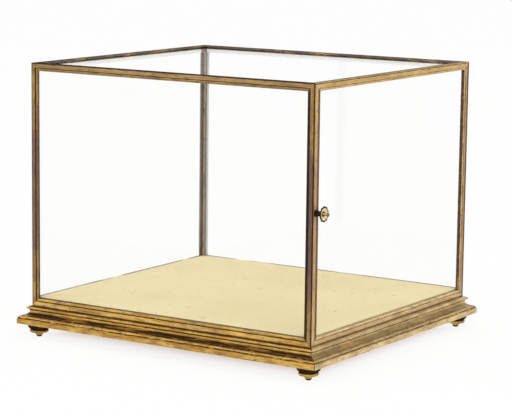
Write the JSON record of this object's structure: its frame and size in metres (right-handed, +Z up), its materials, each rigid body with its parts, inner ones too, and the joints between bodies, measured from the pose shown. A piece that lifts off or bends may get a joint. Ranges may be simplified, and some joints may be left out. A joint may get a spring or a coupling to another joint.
{
  "type": "display case",
  "caption": "Glazed table display case with a slender moulded brass frame, a turning catch on a side door, a stepped plinth, small turned feet and a cloth-lined floor.",
  "frame": {"origin": "centre of the plinth in plan, on the surface that the feet stand on", "axes": "+X from the centre to the side with the door, -Y to the long front face, +Z up"},
  "size_m": [0.4304, 0.394, 0.336],
  "materials": {
    "brass": "aged, softly polished",
    "plinth_brass": "aged, cast and filed",
    "dark_brass": "darkened",
    "glass": "clear, polished",
    "wood": "plain, unpolished",
    "lining": "plain woven cloth",
    "steel": "plain turned"
  },
  "bodies": {
    "case": {"base_board": "wood", "bottom_rail_back": "brass", "bottom_rail_front": "brass", "bottom_rail_left": "brass", "bottom_rail_right": "brass", "floor_lining": "lining", "floor_panel": "wood", "foot_back_left": "brass", "foot_back_right": "brass", "foot_front_left": "brass", "foot_front_right": "brass", "foot_studs": "steel", "frame_screws": "steel", "glass_back": "glass", "glass_front": "glass", "glass_left": "glass", "glass_top": "glass", "glazing_bead_back_left": "brass", "glazing_bead_front_left": "brass", "glazing_bead_front_right": "brass", "pivot_pin_bottom": "steel", "pivot_pin_top": "steel", "pivot_washer": "brass", "plinth_back": "plinth_brass", "plinth_front": "plinth_brass", "plinth_left": "plinth_brass", "plinth_pins": "brass", "plinth_right": "plinth_brass", "post_back_left": "brass", "post_back_right": "brass", "post_front_left": "brass", "post_front_right": "brass", "top_bead_back": "brass", "top_bead_front": "brass", "top_bead_left": "brass", "top_bead_right": "brass", "top_rail_back": "brass", "top_rail_front": "brass", "top_rail_left": "brass", "top_rail_right": "brass"},
    "door": {"door_lock_stile": "brass", "door_hinge_stile": "brass", "door_top_rail": "brass", "door_bottom_rail": "brass", "door_glass": "glass", "door_corner_screws": "steel", "knob_collar": "dark_brass"},
    "catch": {"knob": "brass", "knob_stem": "dark_brass", "catch_spindle": "steel", "catch_tongue": "steel", "catch_screw": "steel"}
  },
  "joints": [
    {"name": "door_hinge", "type": "hinge", "parent": "case", "child": "door", "pos_m": [0.198, 0.1799, 0.18725], "axis": [0, 0, 1], "range_deg": [0, 95]},
    {"name": "catch_turn", "type": "hinge", "parent": "door", "child": "catch", "pos_m": [0.2, -0.1767, 0.1905], "axis": [1, 0, 0], "range_deg": [0, 90]}
  ]
}
